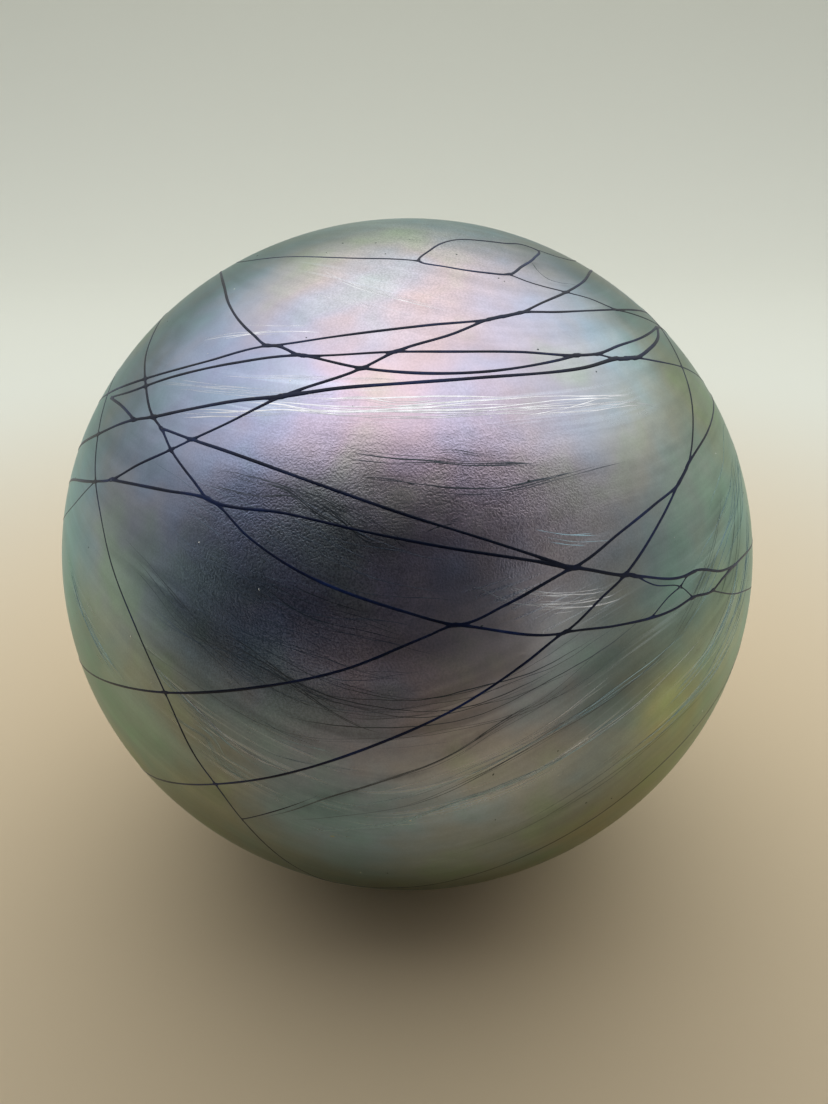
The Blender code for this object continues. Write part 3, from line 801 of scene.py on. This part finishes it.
# Small marks of the furnace: some where the photo shows one, and a few strays.
WHITE_SPECKS = (
    (0.6, -9.8), (60, 30), (-56, 60), (-21, 47.5), (14, 43), (127, 24), (-18.8, 21.9), (4, -21),
    (36, -12))
DARK_PITS = (
    (-36, 74.7), (-28, 75.2), (-17, 75.5), (-14, 67.8), (31, 64), (30, 64.8), (-9, 72), (2, 77), (22, 71.5),
    (38, 47))
CRATER = (-10.3, -14.7)
FLECK_SIDES = 12
FLECK_HEIGHT = 0.00003
FLECK_RINGS = ((0.5, 0.8), (1.0, -0.6))  # radius and height, as shares of the fleck's
MOUTH_CLEARANCE = 0.08  # radians from the lip to the nearest fleck


def fleck(place, radius, rng):
    """A low dome of glass with a ragged outline."""
    centre = direction(place)
    east = np.cross((0.0, 0.0, 1.0), centre)
    east /= np.linalg.norm(east)
    north = np.cross(centre, east)
    turns = np.arange(FLECK_SIDES) * 2 * math.pi / FLECK_SIDES
    stretch = rng.uniform(0.55, 1.0)
    lean = rng.uniform(0, math.pi)
    spots = [(0.0, 0.0, 1.0)]
    for ring, level in FLECK_RINGS:
        ragged = ring * (1 + 0.22 * rng.normal(size=FLECK_SIDES))
        spots += [(r * math.cos(t), r * stretch * math.sin(t), level) for t, r in zip(turns, ragged)]
    x, y, level = np.array(spots).T
    across = math.cos(lean) * x - math.sin(lean) * y
    up = math.sin(lean) * x + math.cos(lean) * y
    away = unit(centre + (np.outer(across, east) + np.outer(up, north)) * (radius / GLOBE_RADIUS))
    points, _ = skin_points(away, level * FLECK_HEIGHT)
    outer = 1 + FLECK_SIDES
    pairs = [(j, (j + 1) % FLECK_SIDES) for j in range(FLECK_SIDES)]
    faces = [(0, 1 + j, 1 + k) for j, k in pairs]
    faces += [(1 + j, outer + j, outer + k, 1 + k) for j, k in pairs]
    return points, faces


def scattered_places(count, seed):
    rng = np.random.default_rng(seed)
    heights = rng.uniform(-0.8, 0.97, count)
    azimuths = rng.uniform(-180, 180, count)
    return tuple((azimuth, math.degrees(math.asin(z))) for azimuth, z in zip(azimuths, heights))


def clear_of_mouth(place):
    return direction(place) @ BLOWING_AXIS < math.cos(MOUTH_ANGLE + MOUTH_CLEARANCE)


def make_flecks(name, places, sizes, material, seed):
    rng = np.random.default_rng(seed)
    flecks = (fleck(place, rng.uniform(*sizes), rng) for place in filter(clear_of_mouth, places))
    casing_piece(name, *join(flecks), material)


# ---------------- the threads

# Half the width of a thread, and each thread's name, half width and route.
THICK = 0.0003
MEDIUM = 0.00024
SLIM = 0.00022
THIN = 0.00017
FINE = 0.00012
LOOP = "crown_loop"
THREADS = (
    (LOOP, MEDIUM, (
        (5, 70), (15, 68.2), (27, 66.3), (35, 65.4), (44, 66.7), (57, 68), (70, 69.5), (68, 71.5), (58, 73),
        (46, 75), (33, 76.2), (20, 75.3), (11, 73))),
    ("thick_band", THICK, (
        (165, -12), (150, -2), (130, 16), (112, 29), (94, 41), (77, 47.9), (68.5, 47.5), (60, 47.3),
        (51, 47.2), (46, 47.9), (36, 47.9), (12, 48.4), (0, 48), (-12, 47), (-21.5, 45.3), (-29, 44),
        (-40, 41), (-47, 38.7), (-52, 37.2), (-63.5, 32), (-76, 26), (-94, 16), (-116, 3), (-140, -8),
        (-165, -14))),
    ("long_sweep", SLIM, (
        (-130, 43), (-113, 46.5), (-95, 48.5), (-76, 48), (-64.5, 44.8), (-55.5, 42), (-47, 38.7),
        (-43.5, 37.8), (-39, 35.7), (-32, 32.7), (-28.9, 31.2), (-27.3, 30.8), (-21.5, 27.9), (-15, 25.2),
        (0, 20.7), (6.2, 19), (7.4, 18.8), (19.6, 16.4), (20.5, 16.4), (28, 15.6), (38.5, 14.8), (42.5, 15),
        (47.5, 14.1), (51, 14.6), (56, 14.6), (70, 12), (92, 6), (116, -3), (142, -12), (168, -20))),
    ("upper_band", MEDIUM, (
        (142, 21), (122, 33), (100, 44), (80, 51), (62, 54.5), (50, 56), (39, 57), (28.5, 57.8), (20, 57.2),
        (5, 56.7), (-16, 54.4), (-26.5, 52.5), (-29.5, 52), (-42, 48), (-57, 42.6), (-72, 36.5), (-90, 28),
        (-112, 17), (-136, 8), (-158, 4))),
    ("middle_band", MEDIUM, (
        (-68, 36.8), (-60, 39.7), (-48, 44.7), (-34.5, 48.8), (-21.5, 51.2), (-18, 51.4), (-2, 52.5),
        (9, 52.4), (23, 51.6), (36, 49.8), (41, 49.4), (49.3, 49.6), (58, 49.3), (69, 48.8), (77, 48.2))),
    ("long_diagonal", MEDIUM, (
        (128, 49), (106, 57), (79, 61), (62, 60.7), (49, 60), (37, 59), (28.5, 57.8), (20, 57.2), (10, 55.1),
        (-2, 52.5), (-8, 50), (-21.5, 45.3), (-30.5, 40.4), (-35.5, 37.7), (-39, 35.7), (-45, 32.4),
        (-51, 28.7), (-56, 27), (-70, 22.5), (-90, 12), (-114, -1), (-140, -12), (-166, -20), (170, -25))),
    ("lower_diagonal", MEDIUM, (
        (-51, 28.7), (-37, 30.7), (-28.9, 31.2), (-27.3, 31), (-17, 31.2), (-5, 29.8), (5.5, 28), (17, 25.5),
        (22, 24), (22.9, 23.8), (29.7, 21.6), (30.5, 21.4), (41, 18.4), (43.5, 18.3), (51, 15.7),
        (56, 14.6))),
    ("left_hook", MEDIUM, (
        (-128, 50), (-112, 55), (-95, 59), (-78, 60.5), (-62, 59.6), (-50, 57.2), (-41, 55), (-34.5, 53.4),
        (-28.9, 52.1), (-27.2, 52.2), (-21, 51.3), (-19.3, 51.2), (-8, 50), (0, 49.5), (14, 49.2),
        (30, 49.6), (36, 49.8))),
    ("middle_diagonal", MEDIUM, (
        (-43.5, 37.8), (-35.5, 37.7), (-29, 37.4), (-12, 34.9), (0, 31.9), (11, 28.5), (22, 24))),
    ("rising_sweep", SLIM, (
        (-158, -28), (-130, -25), (-102, -18), (-76, -9.5), (-56, -2.8), (-42, 1.8), (-33, 4.7), (-20, 9.1),
        (-7, 13.6), (2.5, 17.7), (6.2, 19), (7.4, 19.1), (12.5, 20.8), (22, 23.9), (22.9, 24.1),
        (30.5, 26.7), (38, 28.6), (45, 29.9), (48.5, 31.2), (56, 35.2), (64, 39.5), (68.5, 42.1), (75, 45.2),
        (88, 49), (106, 51), (126, 50))),
    ("falling_sweep", SLIM, (
        (158, 4), (138, 15), (116, 25), (94, 31.5), (76, 33.8), (61, 33.2), (48.5, 31.2), (45, 29.9),
        (39, 26.8), (30.6, 21.8), (29.7, 21.3), (26, 19.6), (20.6, 16.6), (19.6, 16.2), (15, 13.6),
        (6.5, 8.7), (-4.5, 3), (-16.5, -3.4), (-27, -8.8), (-39.5, -15.3), (-50, -20.5), (-68, -28),
        (-92, -35), (-122, -40), (-155, -42))),
    ("meridian_trail", THIN, (
        (-134, 36), (-112, 38), (-90, 38), (-73, 36.5), (-66, 33.4), (-56, 27), (-51, 23.8), (-45.5, 19),
        (-38, 11.8), (-33, 4.7), (-29, -5), (-27, -8.8), (-24.5, -15.7), (-21, -27), (-17, -38),
        (-10, -54))),
    ("right_branch", THIN, (
        (41, 49.3), (46, 47.9), (51, 47.2), (59, 45.1), (68.5, 42.1), (78, 38), (95, 29), (112, 17),
        (128, 4))),
    ("crown_left", THIN, ((-122, 60), (-104, 61), (-82, 64), (-52, 69), (-24, 70.4), (5, 70))),
    ("crown_right", THIN, (
        (35, 65.4), (39, 63.4), (49, 60), (55, 58), (62, 54.5), (67, 53), (76, 49.8), (92, 42), (108, 29),
        (122, 14), (134, -2))),
    ("crown_back", THIN, ((70, 69.5), (74, 67), (82, 64.5), (98, 62), (118, 59))),
    ("left_link", MEDIUM, ((-68, 36.8), (-58.3, 37.6), (-52, 37.2))),
    ("left_spur", FINE, ((-56, 27), (-62.5, 21.5), (-78, 12), (-98, 3), (-118, -10))),
    ("base_band", FINE, (
        (150, 8), (122, 10), (96, 6), (74, -1), (55.5, -7), (47, -9.8), (38.5, -13.5), (27, -20), (13, -28),
        (1.5, -34.5), (-16, -40), (-38, -45), (-64, -47), (-92, -45))),
    ("right_spur", FINE, ((47.5, 14.1), (54, 11), (62, 8), (80, 0), (100, -10), (124, -20))),
    ("lower_spur", FINE, ((-24.5, -15.7), (-19.5, -12), (-11.5, -6))),
    ("web_long", FINE, ((31, 21.5), (35, 19), (40, 17.3), (42.5, 15))),
    ("web_upper", FINE, ((40, 17.3), (41.3, 18), (43.5, 18.3))),
    ("web_lower", FINE, ((40, 17.3), (37.5, 16.8), (34, 15.2))),
)
THREAD_STEP = 0.0004
THREAD_SIDES = 12
THREAD_MEAN = 0.82  # mean of a thread's width, and how much it wobbles, in half widths
THREAD_WOBBLE = 0.35
THREAD_RISE = 0.28  # how far a thread stands out of the skin and is sunk in it, in half widths
THREAD_SINK = 0.8
WOBBLES = (0.05, 0.021, 0.009)  # wavelengths at which a thread's width varies
FIRST_THREAD_SEED = 100
TAPER = 0.009
TAPER_TIP = 0.12  # share of the width left at a drawn-out end
JOINED = 0.001  # an end this near another thread runs into it
WEB_REACH = 0.00026  # how far the glass of two threads runs together beside a crossing


def thread_widths(count, radius, seed):
    rng = np.random.default_rng(seed)
    along = np.arange(count) * THREAD_STEP
    wobble = np.zeros(count)
    for length in WOBBLES:
        wobble += math.sqrt(length) * np.sin(2 * math.pi * along / length + rng.uniform(0, 2 * math.pi))
    return radius * (THREAD_MEAN + THREAD_WOBBLE * wobble)


def taper_free_ends(widths, laid):
    """Draw a thread out to a point at each end that doesn't run into another thread."""
    for i, route in enumerate(laid):
        if THREADS[i][0] == LOOP:
            continue
        others = np.concatenate([points for k, points in enumerate(laid) if k != i])
        span = min(len(route), round(TAPER / THREAD_STEP))
        ramp = TAPER_TIP + (1 - TAPER_TIP) * smooth_step(np.arange(span) / span, 0.0, 1.0)
        if np.linalg.norm(others - route[0], axis=1).min() > JOINED:
            widths[i][:span] *= ramp
        if np.linalg.norm(others - route[-1], axis=1).min() > JOINED:
            widths[i][-span:] *= ramp[::-1]


def web_widening(here, sides, own, others):
    """How far the bead widens to each side where another thread runs close by: left, right."""
    left = np.zeros(len(here))
    right = np.zeros(len(here))
    for points, widths in others:
        step = points[None] - here[:, None]
        gap = np.linalg.norm(step, axis=2) - own[:, None] - widths[None]
        grow = np.clip((WEB_REACH - gap) / 2, 0, WEB_REACH / 2)
        side = np.einsum("ijk,ik->ij", step, sides)
        left = np.maximum(left, np.where(side < 0, grow, 0).max(axis=1))
        right = np.maximum(right, np.where(side > 0, grow, 0).max(axis=1))
    return left, right


def bead(centres, normals, across, left, right, rise, sink, closed):
    """A bead of glass along the skin. It stands proud by rise and is sunk in by sink."""
    turns = np.arange(THREAD_SIDES) * 2 * math.pi / THREAD_SIDES
    cosines, sines = np.cos(turns), np.sin(turns)
    sideways = np.where(cosines > 0, np.outer(right, cosines), np.outer(left, cosines))
    upward = np.where(sines > 0, np.outer(rise, sines), np.outer(sink, sines))
    points = centres[:, None] + across[:, None] * sideways[..., None] + normals[:, None] * upward[..., None]
    faces = ring_faces(len(centres), THREAD_SIDES, closed)
    if not closed:
        end = (len(centres) - 1) * THREAD_SIDES
        faces.append(tuple(reversed(range(THREAD_SIDES))))
        faces.append(tuple(range(end, end + THREAD_SIDES)))
    return points.reshape(-1, 3), faces


def make_threads(material):
    routes = [smooth_route(places, THREAD_STEP, name == LOOP) for name, _, places in THREADS]
    widths = [
        thread_widths(len(route), radius, FIRST_THREAD_SEED + i)
        for i, (route, (_, radius, _)) in enumerate(zip(routes, THREADS))
    ]
    laid, normals = zip(*(skin_points(route) for route in routes))
    taper_free_ends(widths, laid)
    for i, (name, _, _) in enumerate(THREADS):
        closed = name == LOOP
        across = across_route(laid[i], normals[i], closed)
        others = [(laid[k], widths[k]) for k in range(len(THREADS)) if k != i]
        left, right = web_widening(laid[i], across, widths[i], others)
        points, faces = bead(
            laid[i], normals[i], across, widths[i] + left, widths[i] + right,
            widths[i] * THREAD_RISE, widths[i] * THREAD_SINK, closed)
        piece = mesh_piece("glass_" + name, points, faces, material)
        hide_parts(name)
        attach(piece, "root")


# ---------------- studio

CAMERA_PLACE = (0.0185, -2.47, 1.27)  # from the globe's centre, in globe radii
CAMERA_PITCH = math.radians(27)  # down from level
CAMERA_LENS = 29.35
FLOOR_FADE = (0.06, 0.36)  # from the globe, the floor fades from the warm tone to the pale one
FLOOR_WARM = (0.62, 0.49, 0.33)
FLOOR_PALE = (0.7, 0.7, 0.63)
STAGE_HALF_WIDTH = 1.6
STAGE_FRONT = -1.4
BACKDROP_BEND = 0.3
BACKDROP_AT = 0.85
BACKDROP_TOP = 0.6
BEND_STEPS = 12
HOOD_SECTION = ((-0.27, 0.0), (-0.27, 0.2), (-0.122, 0.2))  # (y, z) of the dark hood in front
HOOD_SIDES = (-0.5, 0.19)
PANEL_LIGHT = 1.02


def make_camera():
    camera = bpy.data.cameras.new("camera")
    camera.sensor_width = 36.0
    camera.lens = CAMERA_LENS
    camera.clip_start = 0.005
    eye = new_object("camera", camera)
    eye.location = CENTRE + np.array(CAMERA_PLACE) * GLOBE_RADIUS
    eye.rotation_euler = (math.pi / 2 - CAMERA_PITCH, 0.0, 0.0)
    bpy.context.scene.camera = eye


def make_backdrop_light():
    """A soft light on the backdrop, which the glass doesn't mirror."""
    light = bpy.data.lights.new("backdrop_light", "AREA")
    light.shape = "RECTANGLE"
    light.size, light.size_y = 0.9, 0.25
    light.energy = 0.7
    lamp = new_object("backdrop_light", light)
    lamp.visible_glossy = False
    lamp.location = (0.0, 0.25, 0.6)
    away = lamp.location - Vector((0.0, 0.5, 0.05))
    lamp.rotation_euler = away.to_track_quat("Z", "Y").to_euler()


def sheet_mesh(name, section, sides, material, smooth=True):
    """A sheet with the given (y, z) section, between two sides."""
    points = [(x, y, z) for y, z in section for x in sides]
    faces = [(2 * i, 2 * i + 1, 2 * i + 3, 2 * i + 2) for i in range(len(section) - 1)]
    return mesh_piece(name, points, faces, material, smooth)


def make_sweep():
    """A pale floor, warmer near the globe, that sweeps up into a backdrop."""
    material, tree, shader = new_material("pale_sweep")
    length = tree.add("ShaderNodeVectorMath", "Value", ((0, tree.object_place()),), operation="LENGTH")
    away = tree.ease(length, *FLOOR_FADE)
    tree.plug(tree.mix("MIX", away, FLOOR_WARM, FLOOR_PALE), shader["Base Color"])
    shader["Roughness"].default_value = 0.8
    turns = [math.pi / 2 * step / BEND_STEPS for step in range(BEND_STEPS + 1)]
    start, bend = BACKDROP_AT - BACKDROP_BEND, BACKDROP_BEND
    curve = [(start + bend * math.sin(turn), bend - bend * math.cos(turn)) for turn in turns]
    section = [(STAGE_FRONT, 0.0), *curve, (BACKDROP_AT, BACKDROP_TOP)]
    sheet = sheet_mesh("floor_and_backdrop", section, (-STAGE_HALF_WIDTH, STAGE_HALF_WIDTH), material)


def make_flag():
    """A dark hood in front of the globe, which only the glass mirrors: the camera doesn't see it."""
    material, _, shader = new_material("flag")
    shader["Base Color"].default_value = (0.05, 0.075, 0.12, 1.0)
    flag = sheet_mesh("flag", HOOD_SECTION, HOOD_SIDES, material, smooth=False)
    flag.visible_camera = False


def make_world():
    """Soft light: a wide panel overhead that fades to the sides, and dimmer walls."""
    world = bpy.data.worlds.new("studio")
    world.use_nodes = True
    tree = Tree(world.node_tree)
    split = tree.nodes.new("ShaderNodeSeparateXYZ")
    tree.plug(tree.add("ShaderNodeTexCoord", "Generated"), split.inputs["Vector"])
    x, y, z = split.outputs
    height = tree.math("MAXIMUM", z, 0.02)
    over = tree.math("DIVIDE", x, height)
    ahead = tree.math("DIVIDE", y, height)
    sides = tree.ease(tree.math("ABSOLUTE", over), 3.0, 0.4)
    front = tree.ease(ahead, -0.72, -0.54)
    back = tree.ease(ahead, 3.2, 0.9)
    panel = tree.times(sides, tree.times(front, back))
    walls = tree.ease(tree.math("ABSOLUTE", x), 0.2, 0.8, 0.36, 0.46)
    background = tree.nodes["Background"]
    background.inputs["Color"].default_value = (0.97, 1.0, 0.98, 1.0)
    tree.plug(tree.times_plus(panel, PANEL_LIGHT, walls), background.inputs["Strength"])
    bpy.context.scene.world = world


make_camera()
make_sweep()
make_flag()
make_world()
make_backdrop_light()
bpy.context.scene.view_settings.view_transform = "Standard"
make_outer_glass(skin_glass())
make_lining(lining_glass())
make_threads(thread_glass())
make_wisps("pale", wisp_glass("pale_wisp_glass", (0.84, 0.82, 0.86), 0.24), (0.00003, 0.00011), 0.00003)
make_wisps("aqua", wisp_glass("aqua_wisp_glass", (0.4, 0.58, 0.68), 0.26), (0.00003, 0.0001), 0.00003)
make_wisps("dusk", wisp_glass("dusk_wisp_glass", (0.17, 0.21, 0.28), 0.3), (0.00003, 0.0001), 0.00003)
make_flecks(
    "white_specks", WHITE_SPECKS + scattered_places(50, 5), (0.00008, 0.00018),
    wisp_glass("speck_glass", (0.9, 0.9, 0.86), 0.25), 41)
make_flecks(
    "dark_pits", DARK_PITS + scattered_places(70, 6), (0.0001, 0.00026),
    wisp_glass("pit_glass", (0.06, 0.07, 0.07), 0.4), 42)
make_flecks("crater", (CRATER,), (0.0004, 0.0004), wisp_glass("crater_glass", (0.5, 0.5, 0.3), 0.3), 43)
make_wisps("dark", wisp_glass("dark_wisp_glass", (0.1, 0.11, 0.13), 0.34), (0.00003, 0.00013), 0.00002)
